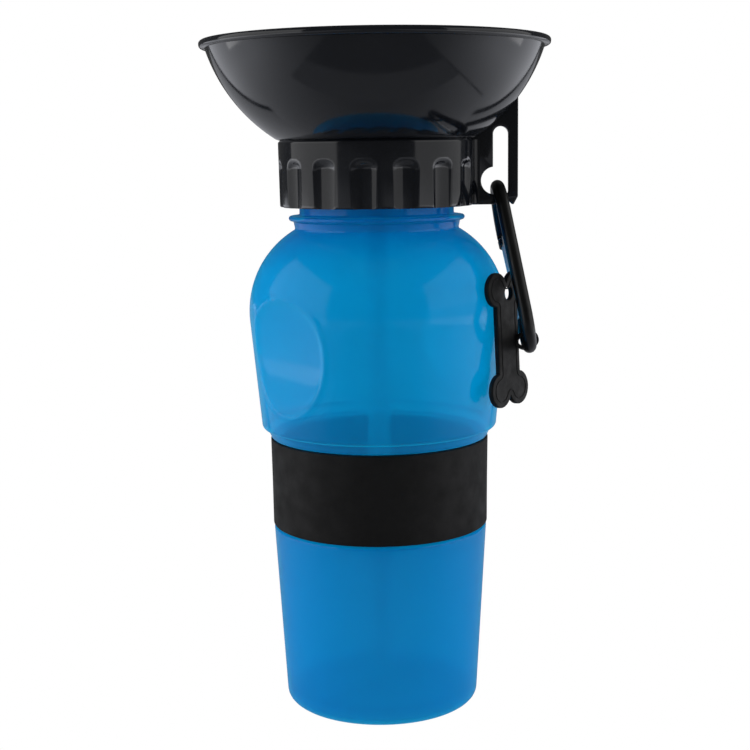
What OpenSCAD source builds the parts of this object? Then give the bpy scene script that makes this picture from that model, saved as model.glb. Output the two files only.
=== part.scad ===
// Squeeze bottle for dogs: a soft bottle that is squeezed by hand drives water
// up a tube into the drinking bowl, which is moulded in one with the screw lid.
// Origin: centre of the base. +Z up, -Y is the front, the hanger plate points to +X.

/* [Bottle] */
// Wall of the blow-moulded bottle
wall = 1.2; // [0.9:0.1:2]
// Radius of the base
base_r = 33.2; // [31:0.1:35]
// Rounding where the base meets the side
base_edge_r = 3; // [2.2:0.1:5]
// Radius of the recess under the base
foot_r = 24; // [18:0.5:28]
// Height of the recess under the base
foot_rise = 2.2; // [1:0.1:4]
// How far the lower body's top stands out past the waist
waist_step = 1.6; // [1.2:0.1:3]
// Height of the lower body
body_h = 62.6; // [50:0.1:75]
// Radius of the waist under the grip band
waist_r = 35; // [34:0.1:35.8]
// Height of the waist
waist_h = 30.2; // [20:0.1:45]
// Radius of the belly at its foot
belly_foot_r = 40; // [38.5:0.1:42]
// Height over which the belly's underside flares out
belly_flare_h = 4.8; // [4:0.1:8]
// Rounding of the belly's lower edge
belly_edge_r = 1.5; // [1.3:0.1:3]
// Largest radius of the belly
belly_r = 43.4; // [42:0.1:47]
// Radius of the shoulder's arc
shoulder_r = 31.8; // [30:0.1:34]
// Height from the waist to the belly's widest ring
belly_h = 42.8; // [36:0.1:55]
// Depth of each thumb dimple
dimple_depth = 4.4; // [3:0.1:5]
// Radius of the dimple's hollow from top to bottom
dimple_hollow_r = 52; // [45:1:60]
// Radius of the dimple's hollow from side to side
dimple_side_r = 150; // [110:1:200]
// Height of the dimples' middle above the waist
dimple_h = 32.2; // [31:0.1:34]
// Turn of the first dimple from the front, towards -X
dimple_turn = 47; // [30:1:60]

/* [Neck] */
// Radius of the neck's wall
neck_r = 25.8; // [25:0.1:26.2]
// Thickness of the neck's wall
neck_wall = 1.5; // [1.2:0.1:2]
// Height of the neck above its ring
neck_h = 21.3; // [19:0.1:26]
// Radius of the neck ring
neck_ring_r = 29.5; // [28.8:0.1:31]
// Thickness of the neck ring
neck_ring_h = 1.8; // [1.4:0.1:3]
// Radius of the short wall under the neck ring
under_ring_r = 28.3; // [27.8:0.1:28.6]
// Rise of the thread in one turn
thread_pitch = 4; // [3.6:0.1:4.6]
// Height of each thread's ridge
thread_depth = 1.6; // [1:0.1:1.8]

/* [Grip band] */
// Thickness of the band at its lower edge
band_t = 1.85; // [1.2:0.05:2.5]
// Extra thickness at its upper edge
band_flare = 0.3; // [0:0.05:0.6]

/* [Bowl lid] */
// Wall of the bowl
bowl_wall = 2; // [1.5:0.1:3]
// Radius of the arc that the bowl's side follows
bowl_arc_r = 54.5; // [52:0.1:58]
// Distance of that arc's centre from the axis
bowl_arc_x = 3.9; // [2:0.1:6]
// Thickness of the bowl's floor
floor_t = 2.6; // [2.2:0.1:4]
// Height of the collar's top above the gasket's seat
cap_h = 2; // [1.5:0.1:2.2]
// Height of the bowl above the collar
bowl_h = 32.4; // [28:0.1:38]
// Radius of the rim's bead
rim_bead_r = 1.4; // [1:0.1:2]
// Radius of the screw collar at its lower edge
collar_r = 32.3; // [31.8:0.1:33]
// Draft of the collar, added to its radius at the top
collar_draft = 0.3; // [0:0.05:0.5]
// Height of the collar
collar_h = 21.9; // [19:0.1:24]
// Radius of the collar's bore
collar_bore_r = 28.3; // [28:0.1:28.8]
// Number of grip flutes round the collar
flute_count = 15; // [9:1:18]
// Depth of a flute
flute_depth = 1.15; // [0.6:0.05:1.4]
// Width of a flute
flute_w = 8.8; // [6:0.1:9.5]
// Height of the plain band above the flutes
flute_top = 7; // [4:0.1:9]
// Radius of the plug ring that reaches into the neck
plug_r = 23.9; // [22:0.1:24]
// Depth of the plug ring
plug_h = 6; // [3:0.1:9]

/* [Hanger plate] */
// Distance of the plate's outer edge from the axis
plate_reach = 47.3; // [46:0.1:50]
// Thickness of the plate
plate_t = 3.6; // [2.5:0.1:5]
// Height of the plate's outer edge
plate_edge_h = 35; // [32:0.1:37]
// Width of the bar outside the keyhole
plate_bar_w = 3.15; // [2.5:0.05:4]
// Width of the bar under the keyhole
plate_sill_h = 3.3; // [2.5:0.1:4]
// Width of the keyhole's slot
key_slot_w = 5.2; // [4.8:0.1:5.6]
// Height of the keyhole
key_h = 22.5; // [18:0.1:24]
// Radius of the keyhole's round part
key_eye_r = 4.6; // [4.2:0.1:5]

/* [Seal and tube] */
// Thickness of the gasket
gasket_t = 1.4; // [1:0.1:2.4]
// Outer radius of the gasket
gasket_r = 27.6; // [26.5:0.1:28]
// Outer radius of the water tube
tube_r = 4; // [3.4:0.1:4.6]
// Wall of the water tube
tube_wall = 0.8; // [0.6:0.05:1.1]
// Gap between the tube's foot and the bottle's floor
tube_foot_gap = 4; // [2:0.1:10]
// Radius of the water outlet in the bowl's floor
outlet_r = 2.1; // [1.2:0.1:2.3]
// Length of the spigot that holds the tube
spigot_h = 12; // [8:0.5:18]

/* [Carabiner] */
// Radius of the carabiner's rod
rod_r = 2.2; // [1.8:0.05:2.4]
// Overall length of the carabiner
carab_l = 62; // [58:0.5:70]
// Radius of the top bend, at the rod's middle
bend_top_r = 12; // [11:0.1:13]
// Radius of the bottom bend, at the rod's middle
bend_foot_r = 8; // [7:0.1:9]
// Radius of the gate arm
gate_r = 1.45; // [1.2:0.05:1.7]
// Outward lean of the hanging carabiner
carab_lean = 9.6; // [8:0.1:14]
// Turn of the carabiner in its own plane, its foot towards the front
carab_turn = 26; // [24:0.5:30]

/* [Bone tag] */
// Length of the tag
tag_l = 44; // [38:0.5:48]
// Width of the tag
tag_w = 21.6; // [18:0.1:22]
// Width of its shaft
tag_shaft_w = 12.2; // [9:0.1:13]
// Radius of its lobes
tag_lobe_r = 5.6; // [5.3:0.1:5.9]
// Thickness of the tag
tag_t = 1.8; // [1.4:0.1:2]
// Direction that the tag faces, turned from the front towards +X
tag_face = 52; // [48:1:56]
// Height of the tag's middle
tag_z = 127.5; // [125:0.5:129]
// Radius of the eyelet
tag_eyelet_r = 2.2; // [1.5:0.1:2.4]

/* [Hidden] */
$fn = 64;

bottle_blue = [0.05, 0.5, 0.78];
gloss_black = [0.08, 0.08, 0.09];
rubber_black = [0.12, 0.12, 0.12];
clear_blue = [0.75, 0.87, 0.94, 0.6];
bright_steel = [0.78, 0.78, 0.8];

// Clearances: faces that touch, round parts that run, and parts that hang loose
seat_gap = 0.1;
run_gap = 0.05;
plug_gap = 0.4;
hang_gap = 0.4;
// Overlap that joins the pieces of one moulding, and excess length of cutting tools
weld = 0.4;
past = 5;

// Heights and radii on the bottle
ledge_edge = 1.2;
under_ring_rise = 3.2;
under_ring_h = 8;
thread_rise = 8;
body_top_r = waist_r + waist_step;
waist_z = body_h;
flare_z = waist_z + waist_h;
belly_foot_z = flare_z + belly_flare_h;
belly_z = flare_z + belly_h;
shoulder_x = belly_r - shoulder_r;
neck_ring_z = belly_z + sqrt(pow(shoulder_r, 2) - pow(under_ring_r - shoulder_x, 2)) + under_ring_rise;
neck_z = neck_ring_z + neck_ring_h;
thread_z = neck_z + thread_rise;
mouth_z = neck_z + neck_h;
neck_bore_r = neck_r - neck_wall;
belly_edge_x = belly_foot_r - belly_edge_r;

// The belly's side is the line from its lower edge that touches the shoulder's arc
edge_dx = belly_edge_x - shoulder_x;
edge_dz = belly_foot_z - belly_z;
edge_dist = norm([edge_dx, edge_dz]);
side_turn = atan2(edge_dz, edge_dx) + acos((shoulder_r - belly_edge_r) / edge_dist);
side_out = [cos(side_turn), sin(side_turn)];

// Heights on the lid
gasket_z = mouth_z + seat_gap;
ceiling_z = gasket_z + gasket_t + seat_gap;
collar_top_z = ceiling_z + cap_h;
collar_z = collar_top_z - collar_h;
collar_top_r = collar_r + collar_draft;
rim_z = collar_top_z + bowl_h;
bowl_arc_z = collar_top_z + sqrt(pow(bowl_arc_r, 2) - pow(collar_top_r - bowl_arc_x, 2));
bowl_floor_z = ceiling_z + floor_t;
rim_bead_z = rim_z - rim_bead_r;
rim_bead_x = bowl_arc_x + sqrt(pow(bowl_arc_r, 2) - pow(bowl_arc_z - rim_bead_z, 2)) + 0.4;
spigot_r = tube_r - tube_wall - run_gap;
flute_r = (pow(flute_w / 2, 2) + pow(flute_depth, 2)) / (2 * flute_depth);

// Hanger plate and keyhole
key_x = plate_reach - plate_bar_w - key_slot_w / 2;
key_z = collar_z + plate_sill_h;
key_eye_x = key_x + key_slot_w / 2 - key_eye_r;
plate_top_z = collar_z + plate_edge_h;

// Carabiner: its rod lies on the keyhole's sill at the pivot
pivot = [key_x - 1, 0, key_z + rod_r + hang_gap];
down = [sin(carab_lean), 0, -cos(carab_lean)];
front = [0, -1, 0];
along = cos(carab_turn) * down + sin(carab_turn) * front;
across = cos(carab_turn) * front - sin(carab_turn) * down;
spine_l = carab_l - 2 * rod_r - bend_top_r - bend_foot_r;
foot_shift = bend_top_r - bend_foot_r;
foot_centre = pivot + bend_top_r * down + spine_l * along + foot_shift * across;
// The straight stretches are a shade thicker than the bends and lap into them
straight_r = rod_r + 0.03;
rod_lap = 0.3;
gate_slant = 2 * atan2(foot_shift, spine_l);
gate_line_l = spine_l;
gate_pin_r = 0.6;
gate_pin_at = 3.4;
nose_l = 2;
gate_gap = 0.25;
heel_r = 1.75;
tongue_w = 1.3;
fork_w = tongue_w + 2 * gate_gap;
latch_pin_r = 0.5;
latch_pin_at = gate_line_l + 1;
spring_wire_r = 0.2;
spring_r = 0.65;
spring_turns = 5;
spring_l = 3.2;

// Tag: flat beside the belly, with a lug round the foot of the carabiner
tag_lean = 3;
tag_off = belly_r + 0.6 + tag_t / 2;
tag_side = 10.7;
lug_at = -60;
lug_bore_r = rod_r + 0.75;
lug_wall = 0.95;
lug_w = 1.6;
lug_centre = foot_centre + bend_foot_r * (cos(lug_at) * along + sin(lug_at) * across);
tag_across = [cos(tag_face), sin(tag_face), 0];
tag_out = [sin(tag_face), -cos(tag_face), 0];
tag_edge = tag_side * tag_across + tag_off * tag_out + [0, 0, tag_z]
  + (tag_shaft_w / 2 - 1) * tag_across;

// A straight round bar from one point to another
module bar(from, to, r) {
  way = to - from;
  translate(from)
    rotate([0, acos(way[2] / norm(way)), atan2(way[1], way[0])])
      cylinder(r=r, h=norm(way));
}

// Half of the bottle's section, drawn in by w from its outer face
module bottle_section(w) {
  touch = [shoulder_x, belly_z] + (shoulder_r - w) * side_out;
  edge = [belly_edge_x, belly_foot_z] + (belly_edge_r - w) * side_out;
  polygon([
    [0, foot_rise + w],
    [foot_r - foot_rise - w / 2, foot_rise + w],
    [foot_r - w / 2, w],
    [base_r - base_edge_r, w],
    [base_r - w, base_edge_r],
    [body_top_r - w, waist_z - ledge_edge - w],
    [body_top_r - ledge_edge - w / 2, waist_z - w],
    [waist_r - w, waist_z - w],
    [waist_r - w, flare_z + w],
    [waist_r + 1.6 - w / 2, flare_z + w],
    [belly_edge_x + belly_edge_r * 0.7 - w, belly_foot_z - belly_edge_r * 0.7 + w / 2],
    edge,
    touch,
    [shoulder_x, belly_z],
    [0, belly_z]
  ]);
  translate([base_r - base_edge_r, base_edge_r])
    circle(r=base_edge_r - w);
  if (w == 0)
    translate([belly_edge_x, belly_foot_z])
      circle(r=belly_edge_r);
  intersection() {
    translate([shoulder_x, belly_z])
      circle(r=shoulder_r - w, $fn=128);
    translate([0, touch[1]])
      square([belly_r + past, neck_z - touch[1]]);
  }
  translate([0, touch[1]])
    square([shoulder_x + 4, neck_ring_z - touch[1] - w]);
  translate([0, neck_ring_z - under_ring_h])
    square([under_ring_r - w, under_ring_h - w]);
}

// One ridge of a thread, turned along the helix; the ridge points out or in
module thread_ridge(root_r, tip_r, root_w, tip_w) {
  ridge_angle = 56;
  lead = atan(thread_pitch / (2 * PI * neck_r));
  rotate([lead, 0, 0])
    rotate([0, 0, -ridge_angle / 2])
      rotate_extrude(angle=ridge_angle)
        polygon([[root_r, -root_w / 2], [tip_r, -tip_w / 2], [tip_r, tip_w / 2], [root_r, root_w / 2]]);
}

// Ridges in a row along the helix, one every fifth of a turn
module thread(count, z, root_r, tip_r, root_w, tip_w) {
  step = 72;
  for (i = [0 : count - 1])
    translate([0, 0, z + thread_pitch * i * step / 360])
      rotate([0, 0, i * step])
        thread_ridge(root_r, tip_r, root_w, tip_w);
}

// Flattened ring that presses a thumb dimple into the belly
module dimple(turn, grow) {
  z = flare_z + dimple_h;
  side_x = shoulder_x + (shoulder_r - (z - belly_z) * side_out[1]) / side_out[0];
  centre = [side_x, z] + (dimple_hollow_r - dimple_depth) * side_out;
  ring_r = dimple_side_r - dimple_hollow_r;
  rotate([0, 0, turn])
    translate([centre[0] + ring_r, 0, centre[1]])
      rotate_extrude($fn=128)
        translate([ring_r, 0])
          circle(r=dimple_hollow_r + grow, $fn=96);
}

module dimples(grow) {
  for (turn = [-90 - dimple_turn, 90 - dimple_turn])
    dimple(turn, grow);
}

module squeeze_bottle() {
  color(bottle_blue) {
    difference() {
      union() {
        difference() {
          rotate_extrude($fn=128)
            bottle_section(0);
          dimples(0);
        }
        translate([0, 0, neck_ring_z])
          cylinder(r=neck_ring_r, h=neck_ring_h, $fn=128);
        translate([0, 0, neck_ring_z - weld])
          cylinder(r=neck_r, h=mouth_z - neck_ring_z + weld, $fn=128);
        thread(6, thread_z, neck_r - weld, neck_r + thread_depth, 2.4, 1.1);
      }
      difference() {
        rotate_extrude($fn=128)
          bottle_section(wall);
        dimples(wall);
      }
      translate([0, 0, neck_ring_z - wall - 0.5])
        cylinder(r1=under_ring_r - wall, r2=neck_bore_r, h=neck_ring_h + 0.6, $fn=128);
      translate([0, 0, neck_ring_z])
        cylinder(r=neck_bore_r, h=neck_h + past, $fn=128);
    }
  }
}

module grip_band() {
  bore_r = waist_r + run_gap;
  low = waist_z + seat_gap;
  high = flare_z - seat_gap;
  edge = 0.4;
  low_r = waist_r + band_t;
  high_r = low_r + band_flare;
  color(rubber_black)
    rotate_extrude($fn=128)
      polygon([[bore_r, low], [low_r - edge, low], [low_r, low + edge], [high_r, high - edge],
        [high_r - edge, high], [bore_r, high]]);
}

// Half of the bowl's section: a wall that follows one arc, closed by a beaded rim
module bowl_section() {
  rim_in = rim_bead_x - rim_bead_r - bowl_wall * 0.6;
  intersection() {
    difference() {
      translate([bowl_arc_x, bowl_arc_z])
        circle(r=bowl_arc_r, $fn=160);
      translate([bowl_arc_x, bowl_arc_z])
        circle(r=bowl_arc_r - bowl_wall, $fn=160);
    }
    translate([bowl_arc_x, collar_top_z - 0.6])
      square([bowl_arc_r + past, rim_bead_z - collar_top_z + 0.6]);
  }
  translate([rim_bead_x, rim_bead_z])
    circle(r=rim_bead_r, $fn=32);
  translate([rim_in + rim_bead_r * 0.7, rim_z - rim_bead_r * 0.7])
    circle(r=rim_bead_r * 0.7, $fn=32);
  translate([rim_in + rim_bead_r * 0.7, rim_bead_z - 0.3])
    square([rim_bead_x - rim_in - rim_bead_r * 0.7, rim_bead_r + 0.3]);
  translate([rim_in, rim_bead_z - 0.5])
    square([rim_bead_x - rim_in, rim_bead_r * 0.3 + 0.5]);
}

// Plate beside the collar, drawn in the XZ plane
module hanger_outline() {
  chamfer_x = 1.4;
  chamfer_z = 2.6;
  inner_x = collar_bore_r + 1.5;
  polygon([
    [inner_x, collar_z],
    [plate_reach - chamfer_x, collar_z],
    [plate_reach, collar_z + chamfer_z],
    [plate_reach, plate_top_z],
    [inner_x + 3, collar_top_z + 1.5],
    [inner_x, collar_top_z - 1]
  ]);
}

module keyhole_outline() {
  translate([key_eye_x, key_z + key_eye_r])
    circle(r=key_eye_r);
  translate([key_x - key_slot_w / 2, key_z])
    square([key_slot_w, key_h - key_slot_w / 2]);
  translate([key_x, key_z + key_h - key_slot_w / 2])
    circle(r=key_slot_w / 2);
}

module hanger_plate() {
  notch_r = 3;
  difference() {
    translate([0, plate_t / 2, 0])
      rotate([90, 0, 0])
        linear_extrude(plate_t)
          difference() {
            hanger_outline();
            keyhole_outline();
            translate([key_x + 1.4, collar_z - notch_r + 1.2])
              circle(r=notch_r);
          }
    translate([0, 0, bowl_arc_z])
      rotate_extrude($fn=128)
        intersection() {
          translate([bowl_arc_x, 0])
            circle(r=bowl_arc_r - bowl_wall / 2, $fn=160);
          translate([bowl_arc_x, -bowl_arc_r])
            square([bowl_arc_r, bowl_arc_r]);
        }
  }
}

module bowl_lid() {
  flute_z = collar_top_z - flute_top;
  flute_turn = -97;
  plug_wall = 1.4;
  color(gloss_black)
    difference() {
      union() {
        rotate_extrude($fn=128)
          bowl_section();
        // Floor of the bowl, and the top edge of the collar
        translate([0, 0, ceiling_z])
          cylinder(r=collar_top_r - 1.2, h=floor_t, $fn=128);
        difference() {
          union() {
            translate([0, 0, collar_z])
              cylinder(r1=collar_r, r2=collar_top_r, h=collar_h - 0.8, $fn=128);
            translate([0, 0, collar_top_z - 0.8])
              cylinder(r1=collar_top_r, r2=collar_top_r - 0.8, h=0.8, $fn=128);
          }
          translate([0, 0, collar_z - past])
            cylinder(r=collar_bore_r, h=ceiling_z - collar_z + past, $fn=128);
          for (i = [0 : flute_count - 1])
            rotate([0, 0, flute_turn + i * 360 / flute_count])
              translate([collar_r - flute_depth + flute_r, 0, collar_z - past])
                cylinder(r=flute_r, h=flute_z - collar_z + past);
        }
        thread(4, thread_z - thread_pitch / 2, collar_bore_r + weld, neck_r + 0.45, 1.9, 0.8);
        // Plug ring inside the neck
        translate([0, 0, ceiling_z - plug_h])
          difference() {
            cylinder(r=plug_r, h=plug_h + weld, $fn=96);
            translate([0, 0, -past])
              cylinder(r=plug_r - plug_wall, h=plug_h + past, $fn=96);
          }
        // Spigot that the water tube is pushed onto
        translate([0, 0, ceiling_z - spigot_h])
          cylinder(r=spigot_r, h=spigot_h + weld);
        hanger_plate();
      }
      translate([0, 0, ceiling_z - spigot_h - past])
        cylinder(r=outlet_r, h=spigot_h + floor_t + 2 * past);
      // Funnel round the outlet, so that the bowl drains back
      translate([0, 0, bowl_floor_z - 0.7])
        cylinder(r1=outlet_r, r2=outlet_r + 1.5, h=0.7 + weld);
    }
}

module lid_gasket() {
  color(clear_blue)
    translate([0, 0, gasket_z])
      difference() {
        cylinder(r=gasket_r, h=gasket_t, $fn=128);
        translate([0, 0, -past])
          cylinder(r=plug_r + run_gap * 2, h=gasket_t + 2 * past, $fn=128);
      }
}

module water_tube() {
  low = foot_rise + wall + tube_foot_gap;
  high = ceiling_z - seat_gap;
  color(clear_blue)
    translate([0, 0, low])
      difference() {
        cylinder(r=tube_r, h=high - low);
        translate([0, 0, -past])
          cylinder(r=tube_r - tube_wall, h=high - low + 2 * past);
      }
}

// Places what is drawn in the YZ plane, the top bend's centre at the origin,
// the spine at -Y and the foot down
module in_carabiner() {
  translate(pivot)
    rotate([0, -carab_lean, 0])
      translate([0, 0, -bend_top_r])
        rotate([-carab_turn, 0, 0])
          children();
}

// Places what is drawn along +Z on the gate's line, from the foot bend upwards
module on_gate_line() {
  in_carabiner()
    translate([0, -foot_shift, -spine_l])
      rotate([-gate_slant, 0, 0])
        translate([0, bend_foot_r, 0])
          children();
}

// A bend of the rod in the YZ plane, from one angle to another, counted from +Y
module rod_bend(r, from, to) {
  rotate([90, 0, 90])
    rotate([0, 0, from])
      rotate_extrude(angle=to - from, $fn=96)
        translate([r, 0])
          circle(r=rod_r, $fn=32);
}

module carabiner_frame() {
  stub_l = gate_pin_at + heel_r;
  color(gloss_black)
    difference() {
      union() {
        in_carabiner() {
          rod_bend(bend_top_r, -gate_slant, 180);
          translate([0, -bend_top_r, -spine_l - rod_lap])
            cylinder(r=straight_r, h=spine_l + 2 * rod_lap, $fn=32);
          translate([0, -foot_shift, -spine_l])
            rod_bend(bend_foot_r, 180, 360 - gate_slant);
        }
        on_gate_line() {
          translate([0, 0, -rod_lap])
            cylinder(r=straight_r, h=stub_l + rod_lap, $fn=32);
          translate([0, 0, gate_line_l - nose_l])
            cylinder(r=straight_r, h=nose_l + rod_lap, $fn=32);
        }
      }
      on_gate_line() {
        // Fork for the gate's heel, with the bore of the hinge pin
        translate([-fork_w / 2, -past, gate_pin_at - heel_r - gate_gap])
          cube([fork_w, 2 * past, 2 * heel_r + past]);
        translate([-past, 0, gate_pin_at])
          rotate([0, 90, 0])
            cylinder(r=gate_pin_r, h=2 * past, $fn=24);
        // Pocket of the gate's spring
        translate([0, 0, gate_pin_at - heel_r - gate_gap - spring_l - 0.1])
          cylinder(r=spring_r + spring_wire_r + 0.1, h=spring_l + 0.2, $fn=24);
        // Slot of the nose, and the seat of the latch pin, open to the inside
        translate([-fork_w / 2, -past, gate_line_l - nose_l - past])
          cube([fork_w, 2 * past, nose_l + past + 1 + latch_pin_r + gate_gap]);
        translate([-past, -past, latch_pin_at - latch_pin_r - gate_gap])
          cube([2 * past, past + latch_pin_r + gate_gap, 2 * (latch_pin_r + gate_gap)]);
      }
    }
}

module carabiner_gate() {
  arm_from = gate_pin_at + heel_r + 0.9;
  arm_to = gate_line_l - nose_l - gate_gap;
  color(bright_steel)
    difference() {
      on_gate_line() {
        translate([-tongue_w / 2, 0, gate_pin_at])
          rotate([0, 90, 0])
            cylinder(r=heel_r, h=tongue_w, $fn=32);
        translate([-tongue_w / 2, -gate_r, gate_pin_at])
          cube([tongue_w, 2 * gate_r, heel_r + 1.5]);
        translate([0, 0, arm_from])
          cylinder(r=gate_r, h=arm_to - arm_from, $fn=32);
        translate([-tongue_w / 2, -gate_r + 0.2, arm_to - 1])
          cube([tongue_w, 2 * gate_r - 0.4, latch_pin_at + latch_pin_r + 0.1 - arm_to + 1]);
      }
      on_gate_line() {
        translate([-past, 0, gate_pin_at])
          rotate([0, 90, 0])
            cylinder(r=gate_pin_r + run_gap, h=2 * past, $fn=24);
        translate([-past, 0, latch_pin_at])
          rotate([0, 90, 0])
            cylinder(r=latch_pin_r, h=2 * past, $fn=24);
      }
    }
}

module gate_hinge_pin() {
  color(bright_steel)
    on_gate_line()
      translate([-rod_r, 0, gate_pin_at])
        rotate([0, 90, 0])
          cylinder(r=gate_pin_r, h=2 * rod_r, $fn=24);
}

module gate_latch_pin() {
  pin_l = 3.4;
  color(bright_steel)
    on_gate_line()
      translate([-pin_l / 2, 0, latch_pin_at])
        rotate([0, 90, 0])
          cylinder(r=latch_pin_r, h=pin_l, $fn=24);
}

// Coil spring behind the gate's heel, swept along its helix
module gate_spring() {
  sides = 8;
  rings = spring_turns * 12;
  lift = spring_l - 2 * spring_wire_r;
  points = [for (i = [0 : rings], k = [0 : sides - 1])
    let (turn = 360 * spring_turns * i / rings, a = 360 * k / sides,
      out = spring_r + spring_wire_r * cos(a))
    [out * cos(turn), out * sin(turn), spring_wire_r + lift * i / rings + spring_wire_r * sin(a)]];
  faces = concat(
    [[for (k = [0 : sides - 1]) k]],
    [for (i = [0 : rings - 1], k = [0 : sides - 1])
      let (a = i * sides + k, b = i * sides + (k + 1) % sides)
      [a, a + sides, b + sides, b]],
    [[for (k = [sides - 1 : -1 : 0]) rings * sides + k]]);
  color(bright_steel)
    on_gate_line()
      translate([0, 0, gate_pin_at - heel_r - gate_gap - spring_l])
        polyhedron(points=points, faces=faces);
}

// Places what is drawn in the XZ plane, the tag's middle at the origin, its face at -Y
module in_tag() {
  rotate([0, 0, tag_face])
    translate([tag_side, -tag_off, tag_z])
      rotate([-tag_lean, 0, 0])
        children();
}

module tag_outline() {
  lobe_x = tag_w / 2 - tag_lobe_r;
  lobe_z = tag_l / 2 - tag_lobe_r;
  square([tag_shaft_w, 2 * lobe_z], center=true);
  for (x = [-lobe_x, lobe_x], z = [-lobe_z, lobe_z])
    translate([x, z])
      circle(r=tag_lobe_r);
}

// Places what is drawn round Z on the carabiner's foot bend, where the lug holds it
module in_lug() {
  in_carabiner()
    translate([0, -foot_shift, -spine_l])
      rotate([-lug_at, 0, 0])
        translate([0, 0, -bend_foot_r])
          rotate([90, 0, 0])
            children();
}

module bone_tag() {
  eyelet = [1.2, tag_l / 2 - 7];
  color(rubber_black)
    difference() {
      union() {
        in_tag()
          translate([0, tag_t / 2, 0])
            rotate([90, 0, 0])
              linear_extrude(tag_t)
                difference() {
                  tag_outline();
                  translate(eyelet)
                    circle(r=tag_eyelet_r);
                }
        in_lug()
          translate([0, 0, -lug_w / 2])
            cylinder(r=lug_bore_r + lug_wall, h=lug_w);
        bar(tag_edge, lug_centre, tag_t / 2);
      }
      in_lug()
        translate([0, 0, -past])
          cylinder(r=lug_bore_r, h=2 * past);
    }
}

squeeze_bottle();
grip_band();
bowl_lid();
lid_gasket();
water_tube();
carabiner_frame();
carabiner_gate();
gate_hinge_pin();
gate_latch_pin();
gate_spring();
bone_tag();
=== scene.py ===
import math

import bmesh
import bpy
from mathutils import Matrix, Vector


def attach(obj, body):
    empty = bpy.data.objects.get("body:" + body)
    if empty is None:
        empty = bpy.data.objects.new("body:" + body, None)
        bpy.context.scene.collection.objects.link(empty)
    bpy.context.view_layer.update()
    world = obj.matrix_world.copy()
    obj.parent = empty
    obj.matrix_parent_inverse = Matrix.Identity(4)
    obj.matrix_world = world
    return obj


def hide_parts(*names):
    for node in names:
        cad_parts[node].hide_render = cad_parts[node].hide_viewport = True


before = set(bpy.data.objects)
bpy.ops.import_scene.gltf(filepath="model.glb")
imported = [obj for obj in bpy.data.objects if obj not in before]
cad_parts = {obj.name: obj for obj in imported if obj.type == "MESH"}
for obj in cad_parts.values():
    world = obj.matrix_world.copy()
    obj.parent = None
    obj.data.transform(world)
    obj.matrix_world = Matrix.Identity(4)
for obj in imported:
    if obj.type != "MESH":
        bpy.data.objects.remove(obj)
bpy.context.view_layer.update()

# Looks of a squeeze bottle for dogs. Each visible form is a lathe, a bevelled outline or a sweep. It is
# drawn in millimetres, round the same axis as the solid it stands for, and its mesh is made in metres.
# The camera, the lamps and the sizes inside materials are in metres.

scene = bpy.context.scene
PI = math.pi
MM = 0.001


# ---------------------------------------------------------------- camera
CAMERA_AT = (0, -0.479256, 0.188234)
CAMERA_PITCH, CAMERA_YAW, CAMERA_ROLL = -0.1554, -0.0026, -0.0126
SENSOR_W = 36
LENS = 68.104


def make_camera():
    """Looks along +Y and slightly down; the angles are in radians."""
    level = math.cos(CAMERA_PITCH)
    forward = Vector((math.sin(CAMERA_YAW) * level, math.cos(CAMERA_YAW) * level, math.sin(CAMERA_PITCH)))
    right = Vector((math.cos(CAMERA_YAW), -math.sin(CAMERA_YAW), 0))
    up = right.cross(forward)
    rolled_right = math.cos(CAMERA_ROLL) * right + math.sin(CAMERA_ROLL) * up
    rolled_up = -math.sin(CAMERA_ROLL) * right + math.cos(CAMERA_ROLL) * up
    data = bpy.data.cameras.new("camera")
    data.sensor_fit = "HORIZONTAL"
    data.sensor_width = SENSOR_W
    data.lens = LENS
    data.clip_start = 0.02
    data.clip_end = 20
    cam = bpy.data.objects.new("camera", data)
    place = Matrix((rolled_right, rolled_up, -forward)).transposed().to_4x4()
    place.translation = CAMERA_AT
    cam.matrix_world = place
    scene.collection.objects.link(cam)
    scene.camera = cam


make_camera()
scene.view_settings.view_transform = "Standard"


# ---------------------------------------------------------------- shader helpers
NOISE_ROUGH = 0.55
NOISE_SPAN = (0.3, 0.7)


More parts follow.
